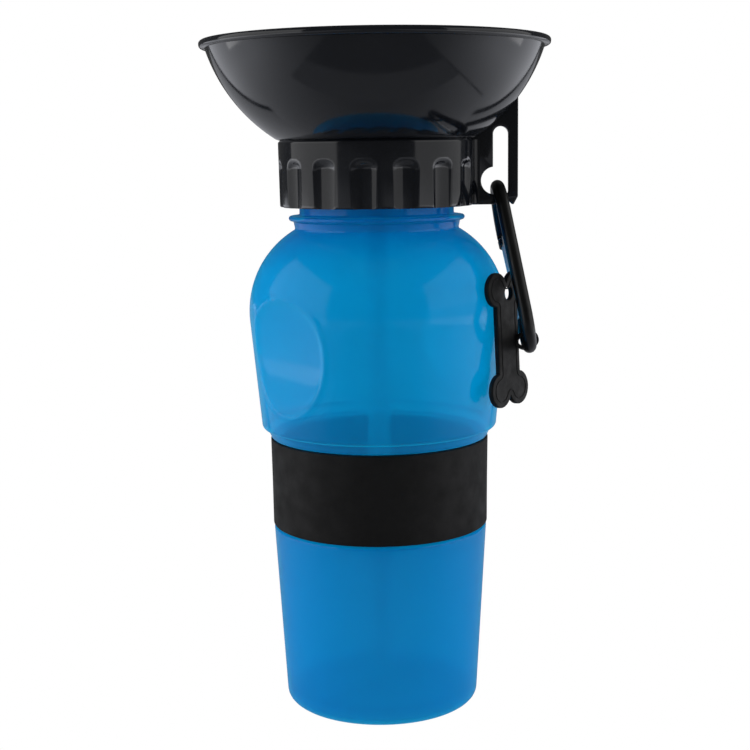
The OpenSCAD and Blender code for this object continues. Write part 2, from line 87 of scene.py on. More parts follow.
class Nodes:
    """A material's nodes, added by short calls."""

    def __init__(self, name):
        self.mat = bpy.data.materials.new(name)
        self.mat.use_nodes = True
        self.tree = self.mat.node_tree
        self.out = self.tree.nodes["Material Output"]
        self.bsdf = self.tree.nodes["Principled BSDF"]

    def add(self, kind, **values):
        """A new node; each value goes to its setting or input of that name."""
        node = self.tree.nodes.new(kind)
        for key, value in values.items():
            if hasattr(node, key):
                setattr(node, key, value)
            else:
                node.inputs[key.replace("_", " ")].default_value = value
        return node

    def link(self, source, target):
        self.tree.links.new(source, target)

    def set(self, **values):
        for key, value in values.items():
            self.bsdf.inputs[key.replace("_", " ")].default_value = value

    def coords(self):
        return self.add("ShaderNodeTexCoord").outputs["Object"]

    def axes(self):
        """The object's coordinates, one by one."""
        node = self.add("ShaderNodeSeparateXYZ")
        self.link(self.coords(), node.inputs[0])
        return node.outputs

    def backfacing(self):
        return self.add("ShaderNodeNewGeometry").outputs["Backfacing"]

    def noise(self, scale, detail, stretch=None):
        noise = self.add("ShaderNodeTexNoise", Scale=scale, Detail=detail, Roughness=NOISE_ROUGH)
        source = self.coords()
        if stretch:
            mapping = self.add("ShaderNodeMapping", Scale=stretch)
            self.link(source, mapping.inputs["Vector"])
            source = mapping.outputs["Vector"]
        self.link(source, noise.inputs["Vector"])
        return noise.outputs["Fac"]

    def range(self, value, start, end, low, high, kind):
        node = self.add("ShaderNodeMapRange", interpolation_type=kind,
                        From_Min=start, From_Max=end, To_Min=low, To_Max=high)
        self.link(value, node.inputs["Value"])
        return node.outputs["Result"]

    def spread(self, value, low, high):
        """Noise spread out from low to high."""
        return self.range(value, *NOISE_SPAN, low, high, "LINEAR")

    def ramp(self, value, start, end, low, high):
        """A soft step from low to high as value goes from start to end."""
        return self.range(value, start, end, low, high, "SMOOTHSTEP")

    def math(self, operation, *values):
        node = self.add("ShaderNodeMath", operation=operation)
        for socket, value in zip(node.inputs, values):
            if isinstance(value, (int, float)):
                socket.default_value = value
            else:
                self.link(value, socket)
        return node.outputs[0]

    def product(self, a, b):
        return self.math("MULTIPLY", a, b)

    def band(self, value, middle, half):
        """1 where value is within half of middle, and 0 elsewhere."""
        away = self.math("ABSOLUTE", self.math("SUBTRACT", value, middle))
        return self.ramp(away, half * 0.7, half, 1, 0)

    def blend(self, share, first, second):
        """A mix of two numbers; each may be a number or a socket."""
        rest = self.ramp(share, 0, 1, 1, 0)
        return self.math("ADD", self.product(rest, first), self.product(share, second))

    def shade(self, share, first, second):
        """A mix of two colours, each given as numbers or as a socket."""
        mix = self.add("ShaderNodeMix", data_type="RGBA")
        for key, colour in (("A", first), ("B", second)):
            if isinstance(colour, tuple):
                mix.inputs[key].default_value = (*colour, 1)
            else:
                self.link(colour, mix.inputs[key])
        self.link(share, mix.inputs["Factor"])
        return mix.outputs["Result"]

    def tint(self, noise, low, high):
        return self.shade(self.spread(noise, 0, 1), low, high)

    def mixed(self, share, first, second):
        """A mix of two shaders; share is a number or a socket."""
        mix = self.add("ShaderNodeMixShader")
        if isinstance(share, float):
            mix.inputs["Fac"].default_value = share
        else:
            self.link(share, mix.inputs["Fac"])
        self.link(first, mix.inputs[1])
        self.link(second, mix.inputs[2])
        return mix.outputs[0]

    def clear(self, colour=(1, 1, 1)):
        return self.add("ShaderNodeBsdfTransparent", Color=(*colour, 1)).outputs[0]

    def translucent(self, colour, normal):
        node = self.add("ShaderNodeBsdfTranslucent")
        self.link(colour, node.inputs["Color"])
        self.link(normal, node.inputs["Normal"])
        return node.outputs[0]

    def bump(self, relief):
        """Stacks layers of (noise, distance in metres, strength) onto the surface."""
        normal = None
        for field, distance, strength in relief:
            node = self.add("ShaderNodeBump", Distance=distance, Strength=strength)
            self.link(self.noise(*field), node.inputs["Height"])
            if normal:
                self.link(normal, node.inputs["Normal"])
            normal = node.outputs["Normal"]
        self.link(normal, self.bsdf.inputs["Normal"])
        return normal


def finish(name, tones, mottle, roughness, grain, relief, **values):
    """A finish with two tones of colour, uneven gloss and fine relief.

    Each noise is (scale, detail) or (scale, detail, stretch).
    """
    n = Nodes(name)
    n.link(n.tint(n.noise(*mottle), *tones), n.bsdf.inputs["Base Color"])
    n.link(n.spread(n.noise(*grain), *roughness), n.bsdf.inputs["Roughness"])
    n.set(**values)
    n.bump(relief)
    return n.mat


# ---------------------------------------------------------------- materials
# Shares of the bottle's light that scatter through the wall and that pass straight
SHINE_THROUGH = 0.45
SEE_THROUGH = 0.34
SEE_THROUGH_EDGE = 0.05
# Heights between which the colour and the see-through share change: shoulder to neck and lower body to belly,
# where a painted shade comes in (the collar's shadow on the neck, the dimmer light on the lower half), and
# base to side
NECK_PAINTED_SHADE = (0.148, 0.170)
FOOT_PAINTED_SHADE = (0.06, 0.1)
BASE_FADE = (0.001, 0.007)


def bottle_plastic():
    """Milky plastic: part of the light scatters back, part shines through, and a little passes straight; the
    neck and the lower half carry painted shade.
    """
    n = Nodes("bottle_plastic")
    cloud = n.noise(26, 3)
    height = n.axes()["Z"]
    # Painted shade: the colour darkens in the neck, for the collar's shadow, and in the lower half, for the
    # dimmer light there
    neck = n.ramp(height, *NECK_PAINTED_SHADE, 0, 1)
    foot = n.ramp(height, *FOOT_PAINTED_SHADE, 1, 0)

    def with_painted_shade(low, high, shaded_foot_tone, shaded_neck_tone):
        return n.shade(neck, n.shade(foot, n.tint(cloud, low, high), shaded_foot_tone), shaded_neck_tone)

    # In each call the colours at the foot and at the neck are darker, as painted shade
    base = with_painted_shade((0.0, 0.165, 0.47), (0.0, 0.195, 0.52), (0.0, 0.14, 0.46), (0.0, 0.085, 0.38))
    n.link(base, n.bsdf.inputs["Base Color"])
    n.link(n.spread(n.noise(90, 3), 0.1, 0.14), n.bsdf.inputs["Roughness"])
    n.set(IOR=1.46, Specular_IOR_Level=0.6)
    n.set(Sheen_Weight=0.3, Sheen_Roughness=0.35, Sheen_Tint=(0.1, 0.75, 1, 1))
    normal = n.bump([((45, 2), 0.0004, 0.05)])
    glow = with_painted_shade((0.0, 0.56, 0.79), (0.0, 0.61, 0.85), (0.0, 0.53, 0.79), (0.0, 0.27, 0.6))
    body = n.mixed(SHINE_THROUGH, n.bsdf.outputs[0], n.translucent(glow, normal))
    # A slanting path through the wall is longer, so less of what is behind shows near the outline
    slant = n.add("ShaderNodeLayerWeight", Blend=0.5).outputs["Facing"]
    through = n.ramp(slant, 0.35, 0.95, SEE_THROUGH, SEE_THROUGH_EDGE)
    # The painted shade also lets less pass straight in the neck and in the lower half
    through = n.product(through, n.ramp(neck, 0, 1, 1, 0.6))
    through = n.product(through, n.ramp(foot, 0, 1, 1, 0.7))
    # The path through the rounded edge of the base is longer still
    through = n.product(through, n.ramp(height, *BASE_FADE, 0.05, 1))
    wall = n.mixed(through, body, n.clear((0.0, 0.64, 0.85)))
    # Light that leaves the wall from within passes as it is
    n.link(n.mixed(n.backfacing(), wall, n.clear()), n.out.inputs["Surface"])
    return n.mat


def tube_plastic():
    """Clear plastic with a faint milky tone."""
    n = Nodes("tube_plastic")
    tone = n.tint(n.noise(80, 3), (0.86, 0.90, 0.92), (0.93, 0.95, 0.96))
    n.link(tone, n.bsdf.inputs["Base Color"])
    n.link(n.spread(n.noise(200, 3), 0.15, 0.3), n.bsdf.inputs["Roughness"])
    normal = n.bump([((400, 2), 0.0001, 0.1)])
    body = n.mixed(0.5, n.bsdf.outputs[0], n.translucent(tone, normal))
    n.link(n.mixed(0.72, body, n.clear((0.97, 0.98, 0.99))), n.out.inputs["Surface"])
    return n.mat


def lid_plastic():
    """Glossy black with a cool cast."""
    return finish("lid_plastic", tones=((0.0036, 0.0044, 0.0062), (0.005, 0.0058, 0.0078)), mottle=(60, 3),
                  roughness=(0.07, 0.13), grain=(120, 4), relief=[((40, 2), 0.0004, 0.04)],
                  IOR=1.5, Specular_IOR_Level=0.55)


def band_rubber():
    """Matte black with a fine grain."""
    return finish("band_rubber", tones=((0.0027, 0.0027, 0.0029), (0.0034, 0.0034, 0.0036)), mottle=(40, 4),
                  roughness=(0.62, 0.8), grain=(150, 4),
                  relief=[((2200, 3), 0.00008, 0.35), ((160, 2), 0.0002, 0.04)],
                  Specular_IOR_Level=0.35)


def tag_rubber():
    """Matte black, a little coarser than the band."""
    return finish("tag_rubber", tones=((0.003, 0.003, 0.0032), (0.0055, 0.0055, 0.0058)), mottle=(120, 4),
                  roughness=(0.5, 0.7), grain=(300, 4),
                  relief=[((1800, 3), 0.0001, 0.4), ((260, 2), 0.0003, 0.15)],
                  Specular_IOR_Level=0.28)


def black_metal():
    """Satin black coating on the rod."""
    return finish("black_metal", tones=((0.002, 0.002, 0.0021), (0.0038, 0.0038, 0.004)), mottle=(200, 4),
                  roughness=(0.28, 0.42), grain=(400, 4), relief=[((1500, 3), 0.00005, 0.25)],
                  Metallic=0.2, Specular_IOR_Level=0.5, Coat_Weight=0.1, Coat_Roughness=0.3)


def bright_metal():
    """Drawn bright metal, streaked along Z."""
    streak = (1, 1, 0.1)
    return finish("bright_metal", tones=((0.6, 0.6, 0.61), (0.74, 0.74, 0.74)), mottle=(300, 4, streak),
                  roughness=(0.25, 0.4), grain=(500, 4), relief=[((1200, 3, streak), 0.00005, 0.2)],
                  Metallic=0.25)


def seal_rubber():
    """Milky soft rubber."""
    return finish("seal_rubber", tones=((0.62, 0.66, 0.68), (0.72, 0.75, 0.76)), mottle=(120, 3),
                  roughness=(0.4, 0.55), grain=(300, 3), relief=[((900, 2), 0.00005, 0.15)],
                  Subsurface_Weight=0.2, Subsurface_Scale=0.002)


MATS = {make.__name__: make() for make in (
    bottle_plastic, tube_plastic, lid_plastic, band_rubber,
    tag_rubber, black_metal, bright_metal, seal_rubber)}


# ---------------------------------------------------------------- mesh helpers
def dress(name, mesh, slot, body, sharp, nodes=()):
    """Makes a mesh a piece of the scene, smooth except across edges sharper than sharp degrees."""
    bm = bmesh.new()
    bm.from_mesh(mesh)
    bmesh.ops.remove_doubles(bm, verts=bm.verts, dist=1e-6)
    bmesh.ops.recalc_face_normals(bm, faces=bm.faces)
    limit = math.radians(sharp)
    for face in bm.faces:
        face.smooth = True
    for edge in bm.edges:
        edge.smooth = len(edge.link_faces) == 2 and edge.calc_face_angle(0) < limit
    bm.to_mesh(mesh)
    bm.free()
    obj = bpy.data.objects.new(name, mesh)
    scene.collection.objects.link(obj)
    mesh.materials.append(MATS[slot])
    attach(obj, body)
    if nodes:
        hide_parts(*nodes)


def add_piece(name, verts, faces, slot, body, sharp, nodes=()):
    """A piece from points in millimetres."""
    mesh = bpy.data.meshes.new(name)
    mesh.from_pydata([tuple(c * MM for c in v) for v in verts], [], faces)
    dress(name, mesh, slot, body, sharp, nodes)


def arc(cx, cz, r, start, end, steps):
    """Points of an arc from one angle to another, in degrees."""
    angles = [math.radians(start + (end - start) * i / steps) for i in range(steps + 1)]
    return [(cx + r * math.cos(a), cz + r * math.sin(a)) for a in angles]


def rounded(corners, steps):
    """A polyline whose corners (x, z, radius) are rounded; the first and the last stay sharp."""
    out = [corners[0][:2]]
    for before, (x, z, r), after in zip(corners, corners[1:], corners[2:]):
        corner = Vector((x, z))
        back, on = Vector(before[:2]) - corner, Vector(after[:2]) - corner
        half = back.angle(on) / 2
        if r == 0 or abs(half - PI / 2) < 1e-4:
            out.append((x, z))
            continue
        cut = min(r / math.tan(half), back.length * 0.49, on.length * 0.49)
        back.normalize()
        on.normalize()
        centre = corner + (back + on).normalized() * (cut / math.cos(half))
        first, last = corner + back * cut - centre, corner + on * cut - centre
        angle = first.angle_signed(last)
        for k in range(steps + 1):
            t = -angle * k / steps
            out.append((centre.x + first.x * math.cos(t) - first.y * math.sin(t),
                        centre.y + first.x * math.sin(t) + first.y * math.cos(t)))
    return out + [corners[-1][:2]]


def dense(points, step):
    """Splits the long stretches of a polyline."""
    out = [points[0]]
    for a, b in zip(points, points[1:]):
        n = max(1, int(math.dist(a, b) / step))
        out += [(a[0] + (b[0] - a[0]) * k / n, a[1] + (b[1] - a[1]) * k / n) for k in range(1, n + 1)]
    return out


def lathe(profile, segments, radius=None, closed=False):
    """Turns a profile of (r, z) round Z. radius(i, r, z, angle) may change a point's radius."""
    verts, rings, faces = [], [], []
    for i, (r, z) in enumerate(profile):
        if r < 1e-6:
            rings.append([len(verts)] * segments)
            verts.append((0, 0, z))
            continue
        rings.append(range(len(verts), len(verts) + segments))
        for k in range(segments):
            a = 2 * PI * k / segments
            reach = radius(i, r, z, a) if radius else r
            verts.append((reach * math.cos(a), reach * math.sin(a), z))
    if closed:
        rings.append(rings[0])
    for low, high in zip(rings, rings[1:]):
        for k in range(segments):
            j = (k + 1) % segments
            face = [low[k], low[j], high[j], high[k]]
            face = [v for n, v in enumerate(face) if v not in face[:n]]
            if len(face) > 2:
                faces.append(face)
    return verts, faces


def sweep(path, radius, sides, closed=False):
    """A round tube along points in millimetres."""
    points = [Vector(p) for p in path]
    n = len(points)
    verts, faces = [], []
    normal = None
    for i, p in enumerate(points):
        a = points[i - 1] if closed or i else p
        b = points[(i + 1) % n] if closed or i < n - 1 else p
        along = (b - a).normalized()
        if normal is None:
            normal = along.orthogonal().normalized()
        normal = (normal - along * normal.dot(along)).normalized()
        side = along.cross(normal)
        for k in range(sides):
            q = 2 * PI * k / sides
            verts.append(tuple(p + (normal * math.cos(q) + side * math.sin(q)) * radius))
    for i in range(n if closed else n - 1):
        j = (i + 1) % n
        for k in range(sides):
            m = (k + 1) % sides
            faces.append([i * sides + k, i * sides + m, j * sides + m, j * sides + k])
    if not closed:
        faces += [list(range(sides))[::-1], list(range((n - 1) * sides, n * sides))]
    return verts, faces


def outline_mesh(name, loops, thick, bevel):
    """A bevelled plate from closed outlines in its own XY plane, in millimetres, centred on z = 0."""
    curve = bpy.data.curves.new(name, "CURVE")
    curve.dimensions = "2D"
    curve.fill_mode = "BOTH"
    curve.extrude = (thick / 2 - bevel) * MM
    curve.bevel_depth = bevel * MM
    curve.bevel_resolution = 3
    curve.offset = -bevel * MM
    for loop in loops:
        spline = curve.splines.new("POLY")
        spline.points.add(len(loop) - 1)
        for point, (x, y) in zip(spline.points, loop):
            point.co = (x * MM, y * MM, 0, 1)
        spline.use_cyclic_u = True
    obj = bpy.data.objects.new(name + "_curve", curve)
    scene.collection.objects.link(obj)
    depsgraph = bpy.context.evaluated_depsgraph_get()
    mesh = bpy.data.meshes.new_from_object(obj.evaluated_get(depsgraph))
    bpy.data.objects.remove(obj)
    bpy.data.curves.remove(curve)
    mesh.name = name
    return mesh


def smooth_min(a, b, soft):
    """The smaller of two numbers, with a soft change over between them."""
    near = max(soft - abs(a - b), 0) / soft
    return min(a, b) - near * near * soft / 4


def turn(axis, degrees):
    return Matrix.Rotation(math.radians(degrees), 4, axis)


def move(x, y, z):
    return Matrix.Translation((x, y, z))


def placed(points, matrix):
    return [tuple(matrix @ Vector(p)) for p in points]


def in_metres(matrix):
    """The same placing, with its shift in metres."""
    m = matrix.copy()
    m.translation = m.translation * MM
    return m


# ---------------------------------------------------------------- bottle
WALL = 1.2
BASE_R = 33.2
FOOT_R, FOOT_RISE = 24, 2.2
WAIST_R, WAIST_STEP = 35, 1.6
WAIST_Z, WAIST_H = 62.6, 30.2
BELLY_FOOT_R, BELLY_FLARE_H, BELLY_EDGE_R = 40, 4.8, 1.5
BELLY_R, BELLY_H = 43.4, 42.8
SHOULDER_R = 31.8
DIMPLE_DEPTH, DIMPLE_H, DIMPLE_TURN = 4.4, 32.2, 47
DIMPLE_HOLLOW_R, DIMPLE_SIDE_R = 52, 150
DIMPLE_LIP, DIMPLE_LIP_W, DIMPLE_SOFT = 0.42, 0.62, 0.6
NECK_R, NECK_WALL, NECK_H = 25.8, 1.5, 21.3
NECK_RING_R, NECK_RING_H, NECK_RING_RISE = 29.5, 1.8, 3.2
UNDER_RING_R = 28.3
THREAD_PITCH, THREAD_DEPTH, THREAD_RISE = 4, 1.6, 8
BOTTLE_SEGMENTS = 600

FLARE_Z = WAIST_Z + WAIST_H
BELLY_FOOT_Z = FLARE_Z + BELLY_FLARE_H
BELLY_EDGE_X = BELLY_FOOT_R - BELLY_EDGE_R
BELLY_Z = FLARE_Z + BELLY_H
SHOULDER_X = BELLY_R - SHOULDER_R
DIMPLE_Z = FLARE_Z + DIMPLE_H
NECK_RING_Z = BELLY_Z + math.sqrt(SHOULDER_R ** 2 - (UNDER_RING_R - SHOULDER_X) ** 2) + NECK_RING_RISE
NECK_Z = NECK_RING_Z + NECK_RING_H
NECK_BORE_R = NECK_R - NECK_WALL
MOUTH_Z = NECK_Z + NECK_H


def belly_side_angle():
    """The angle at which the belly's side touches both the arc of its lower edge and the shoulder's arc."""
    dx, dz = BELLY_EDGE_X - SHOULDER_X, BELLY_FOOT_Z - BELLY_Z
    return math.atan2(dz, dx) + math.acos((SHOULDER_R - BELLY_EDGE_R) / math.hypot(dx, dz))


SIDE = belly_side_angle()


def dimple_radius(z, angle, grow):
    """Distance from the axis to the ring that presses the dimples, or None where there is none."""
    up = DIMPLE_HOLLOW_R - DIMPLE_DEPTH
    side_x = SHOULDER_X + (SHOULDER_R - (DIMPLE_Z - BELLY_Z) * math.sin(SIDE)) / math.cos(SIDE)
    hollow_x, hollow_z = side_x + up * math.cos(SIDE), DIMPLE_Z + up * math.sin(SIDE)
    rest = (DIMPLE_HOLLOW_R + grow) ** 2 - (z - hollow_z) ** 2
    if rest <= 0:
        return None
    ring = DIMPLE_SIDE_R - DIMPLE_HOLLOW_R
    reach, far = ring + math.sqrt(rest), hollow_x + ring
    found = []
    for at in (-90 - DIMPLE_TURN, 90 - DIMPLE_TURN):
        away = (angle - math.radians(at) + PI) % (2 * PI) - PI
        rest = reach ** 2 - (far * math.sin(away)) ** 2
        if math.cos(away) > 0 and rest > 0:
            found.append(far * math.cos(away) - math.sqrt(rest))
    return min(found, default=None)


def bottle_profile():
    """Outer face from the middle of the base up to the mouth."""
    low = rounded([
        (0, FOOT_RISE, 0), (FOOT_R - FOOT_RISE, FOOT_RISE, 3),
        (FOOT_R + 0.4, 0, 1.2), (BASE_R - 0.15, 0, 3.2),
        (WAIST_R + WAIST_STEP, WAIST_Z - 0.7, 0.9), (WAIST_R, WAIST_Z, 0.3), (WAIST_R, FLARE_Z, 0.4),
        (WAIST_R + 1.9, FLARE_Z + 0.2, 0.8), (BELLY_EDGE_X - 0.3, BELLY_FOOT_Z - 1.6, 0)], 6)
    side = math.degrees(SIDE)
    edge = arc(BELLY_EDGE_X, BELLY_FOOT_Z, BELLY_EDGE_R, -48, side, 6)
    under_ring = math.degrees(math.acos((UNDER_RING_R - 0.7 - SHOULDER_X) / SHOULDER_R))
    shoulder = arc(SHOULDER_X, BELLY_Z, SHOULDER_R, side, under_ring, 40)
    neck = rounded([
        (*shoulder[-1], 0), (UNDER_RING_R - 0.8, NECK_RING_Z - 2.26, 1.6),
        (UNDER_RING_R - 0.3, NECK_RING_Z + 0.04, 0.7), (NECK_RING_R, NECK_RING_Z + 0.24, 0.8),
        (NECK_RING_R, NECK_Z, 0.8), (NECK_R + 0.1, NECK_Z + 0.14, 0.8), (NECK_R, MOUTH_Z, 0.4),
        (NECK_R - 0.9, MOUTH_Z, 0)], 5)
    return dense(low, 2.4) + edge + dense([edge[-1], shoulder[0]], 1)[1:] + shoulder[1:] + dense(neck, 2)[1:]


def inner_profile(outer):
    """The outer face moved in by the wall; the neck has a plain bore, and its ring is solid."""
    ring_low, ring_high, ring_inside = NECK_RING_Z - 5.36, MOUTH_Z - 0.96, 27
    inner = []
    for before, (r, z), after in zip(outer[:1] + outer, outer[:-1], outer[1:]):
        along = Vector((after[0] - before[0], after[1] - before[1])).normalized()
        r, z = max(r - along.y * WALL, 0), z + along.x * WALL
        if ring_low < z < ring_high and r >= ring_inside:
            continue
        inner.append((min(r, NECK_BORE_R) if z > NECK_RING_Z else r, z))
    return inner + [(NECK_BORE_R, MOUTH_Z)]


def make_bottle():
    outer = bottle_profile()
    belly_low, belly_high, belly_inside = 96, 152, 30

    def radius(i, r, z, angle):
        """Presses the dimples, each with a raised lip, into both faces of the belly."""
        if not belly_low < z < belly_high or r < belly_inside:
            return r
        hollow = dimple_radius(z, angle, WALL if i >= len(outer) else 0)
        if hollow is None:
            return r
        lip = DIMPLE_LIP * math.exp(-((r - hollow) / DIMPLE_LIP_W) ** 2)
        return smooth_min(r, hollow, DIMPLE_SOFT) + lip

    verts, faces = lathe(outer + inner_profile(outer)[::-1], BOTTLE_SEGMENTS, radius)
    add_piece("bottle_shell", verts, faces, "bottle_plastic", "bottle", 40, ["squeeze_bottle"])


def make_neck_thread():
    """Ridges along the helix, one every fifth of a turn, tapered at both ends."""
    ridges, step, ridge_angle, taper, steps = 6, 72, 56, 0.12, 28
    root_r, low_tip = NECK_R - 0.3, 0.2
    root_half, tip_half = 1.1, 0.5
    verts, faces = [], []
    for i in range(ridges):
        first = len(verts)
        for k in range(steps + 1):
            t = k / steps
            at = i * step + ridge_angle * (t - 0.5)
            z = NECK_Z + THREAD_RISE + THREAD_PITCH * at / 360
            full = min(1, t / taper, (1 - t) / taper)
            tip_r = NECK_R + low_tip + (THREAD_DEPTH - low_tip) * full
            out = Vector((math.cos(math.radians(at)), math.sin(math.radians(at))))
            for r, dz in ((root_r, -root_half), (tip_r, -tip_half), (tip_r, tip_half), (root_r, root_half)):
                verts.append((*(out * r), z + dz))
        for k in range(steps):
            a, b = first + 4 * k, first + 4 * k + 4
            faces += [[a + n, b + n, b + (n + 1) % 4, a + (n + 1) % 4] for n in range(4)]
        last = first + 4 * steps
        faces += [[first, first + 1, first + 2, first + 3], [last + 3, last + 2, last + 1, last]]
    add_piece("neck_thread", verts, faces, "bottle_plastic", "bottle", 25)


make_bottle()
make_neck_thread()


# ---------------------------------------------------------------- grip band
BAND_T, BAND_FLARE = 1.85, 0.3
BAND_BORE_GAP, BAND_END_GAP = 0.05, 0.15
BAND_SEGMENTS = 240


def make_band():
    bore_r, low_r = WAIST_R + BAND_BORE_GAP, WAIST_R + BAND_T
    low, high, middle = WAIST_Z + BAND_END_GAP, FLARE_Z - BAND_END_GAP, 78
    profile = rounded([
        (bore_r, middle, 0), (bore_r, low, 0.2), (low_r, low, 0.5), (low_r + BAND_FLARE / 3, middle, 0),
        (low_r + BAND_FLARE, high, 0.5), (bore_r, high, 0.2), (bore_r, middle, 0)], 5)
    verts, faces = lathe(dense(profile, 3)[:-1], BAND_SEGMENTS, closed=True)
    add_piece("band_sleeve", verts, faces, "band_rubber", "bottle", 40, ["grip_band"])


make_band()


# ---------------------------------------------------------------- bowl lid
SEAT_GAP, GASKET_T = 0.1, 1.4
CAP_H, FLOOR_T = 2, 2.6
COLLAR_R, COLLAR_DRAFT, COLLAR_H, COLLAR_BORE_R = 32.3, 0.3, 21.9, 28.3
BOWL_H, BOWL_WALL, BOWL_FLOOR_R = 32.4, 2, 28.9
BOWL_ARC_R, BOWL_ARC_X, BOWL_ARC_STEPS = 54.5, 3.9, 44
BOWL_OUTSIDE_TOP, BOWL_INSIDE_TOP, BOWL_INSIDE_FOOT = -17.6, -18.4, -57.2
RIM_R = 58
OUTLET_R, OUTLET_FUNNEL, OUTLET_DIP = 2.1, 1.5, 0.7
SPIGOT_R, SPIGOT_H = 3.15, 12
PLUG_R, PLUG_WALL, PLUG_H = 23.9, 1.4, 5.96
FLUTE_COUNT, FLUTE_DEPTH, FLUTE_W, FLUTE_TOP = 15, 1.15, 8.8, 7
FLUTE_TURN, FLUTE_HALF, FLUTE_SOFT = -97, 7.8, 0.25
FLUTE_ARCH, FLUTE_ARCH_RISE, FLUTE_RUN_OUT = 1.6, 0.6, 2.2
BOWL_SEGMENTS = 720

CEILING_Z = MOUTH_Z + GASKET_T + 2 * SEAT_GAP
BOWL_FLOOR_Z = CEILING_Z + FLOOR_T
COLLAR_TOP_Z = CEILING_Z + CAP_H
COLLAR_TOP_R = COLLAR_R + COLLAR_DRAFT
COLLAR_Z = COLLAR_TOP_Z - COLLAR_H
RIM_Z = COLLAR_TOP_Z + BOWL_H
BOWL_ARC_Z = COLLAR_TOP_Z + math.sqrt(BOWL_ARC_R ** 2 - (COLLAR_TOP_R - BOWL_ARC_X) ** 2)
FLUTE_R = ((FLUTE_W / 2) ** 2 + FLUTE_DEPTH ** 2) / (2 * FLUTE_DEPTH)


def lid_profile():
    """All round the section: up the collar and the bowl, over the rim and down the inside."""
    low = rounded([
        (COLLAR_BORE_R, COLLAR_Z, 0), (COLLAR_R, COLLAR_Z, 0.5),
        (COLLAR_TOP_R, COLLAR_TOP_Z - 0.66, 0.7), (COLLAR_TOP_R - 0.7, COLLAR_TOP_Z - 0.06, 0)], 4)
    start = math.degrees(math.asin((COLLAR_TOP_Z + 0.34 - BOWL_ARC_Z) / BOWL_ARC_R))
    outside = arc(BOWL_ARC_X, BOWL_ARC_Z, BOWL_ARC_R, start, BOWL_OUTSIDE_TOP, BOWL_ARC_STEPS)
    rim = rounded([(*outside[-1], 0), (RIM_R - 1.85, RIM_Z - 2.56, 0.5), (RIM_R - 0.3, RIM_Z - 2.46, 0.9),
                   (RIM_R - 0.05, RIM_Z - 0.06, 1.1), (RIM_R - 3.8, RIM_Z - 0.01, 1.1),
                   (RIM_R - 4.1, RIM_Z - 2.36, 0)], 5)
    inside_r = BOWL_ARC_R - BOWL_WALL
    inside = arc(BOWL_ARC_X, BOWL_ARC_Z, inside_r, BOWL_INSIDE_TOP, BOWL_INSIDE_FOOT, BOWL_ARC_STEPS)
    spigot_z, plug_z, plug_in = CEILING_Z - SPIGOT_H, CEILING_Z - PLUG_H, PLUG_R - PLUG_WALL
    within = rounded([
        (*inside[-1], 0), (BOWL_FLOOR_R, BOWL_FLOOR_Z, 3), (OUTLET_R + OUTLET_FUNNEL, BOWL_FLOOR_Z, 0.3),
        (OUTLET_R, BOWL_FLOOR_Z - OUTLET_DIP, 0.3), (OUTLET_R, spigot_z, 0.2),
        (SPIGOT_R - 0.05, spigot_z, 0.2), (SPIGOT_R, CEILING_Z, 0.5),
        (plug_in, CEILING_Z, 0.5), (plug_in, plug_z, 0.3), (PLUG_R, plug_z, 0.3), (PLUG_R, CEILING_Z, 0.4),
        (COLLAR_BORE_R, CEILING_Z, 0.5), (COLLAR_BORE_R, COLLAR_Z, 0)], 4)
    return low[:2] + dense(low[2:], 0.6) + outside + rim[1:] + inside + within[1:-1]


def make_bowl():
    top = COLLAR_TOP_Z - FLUTE_TOP
    step = 2 * PI / FLUTE_COUNT
    middle = COLLAR_R - FLUTE_DEPTH + FLUTE_R

    def radius(i, r, z, angle):
        """Cuts the flutes into the collar's outer face; each runs out in an arch at its top."""
        if abs(r - COLLAR_R) > FLUTE_DEPTH or z > top + FLUTE_ARCH_RISE:
            return r
        away = (angle - math.radians(FLUTE_TURN) + step / 2) % step - step / 2
        rest = FLUTE_R ** 2 - (middle * math.sin(away)) ** 2
        if rest <= 0:
            return r
        flute = middle * math.cos(away) - math.sqrt(rest)
        across = abs(away) / math.radians(FLUTE_HALF)
        edge = top + FLUTE_ARCH_RISE - FLUTE_ARCH * across ** 3
        fade = min(max((edge - z) / FLUTE_RUN_OUT, 0), 1)
        fade = fade * fade * (3 - 2 * fade)
        return r + (smooth_min(r, flute, FLUTE_SOFT) - r) * fade

    verts, faces = lathe(lid_profile(), BOWL_SEGMENTS, radius, closed=True)
    add_piece("bowl_and_collar", verts, faces, "lid_plastic", "lid", 38, ["bowl_lid"])


# Hanger plate and keyhole, drawn in the XZ plane
PLATE_REACH, PLATE_T, PLATE_BEVEL = 47.3, 3.6, 0.45
PLATE_BAR_W, PLATE_SILL_H = 3.15, 3.3
CHAMFER_X, CHAMFER_Z = 1.4, 2.6
NOTCH_R, NOTCH_RISE, NOTCH_SHIFT = 3, 1.2, 1.4
KEY_SLOT_W, KEY_H, KEY_EYE_R = 5.2, 22.5, 4.6
ROOT_FILLET = 2.4

KEY_X = PLATE_REACH - PLATE_BAR_W - KEY_SLOT_W / 2
KEY_Z = COLLAR_Z + PLATE_SILL_H


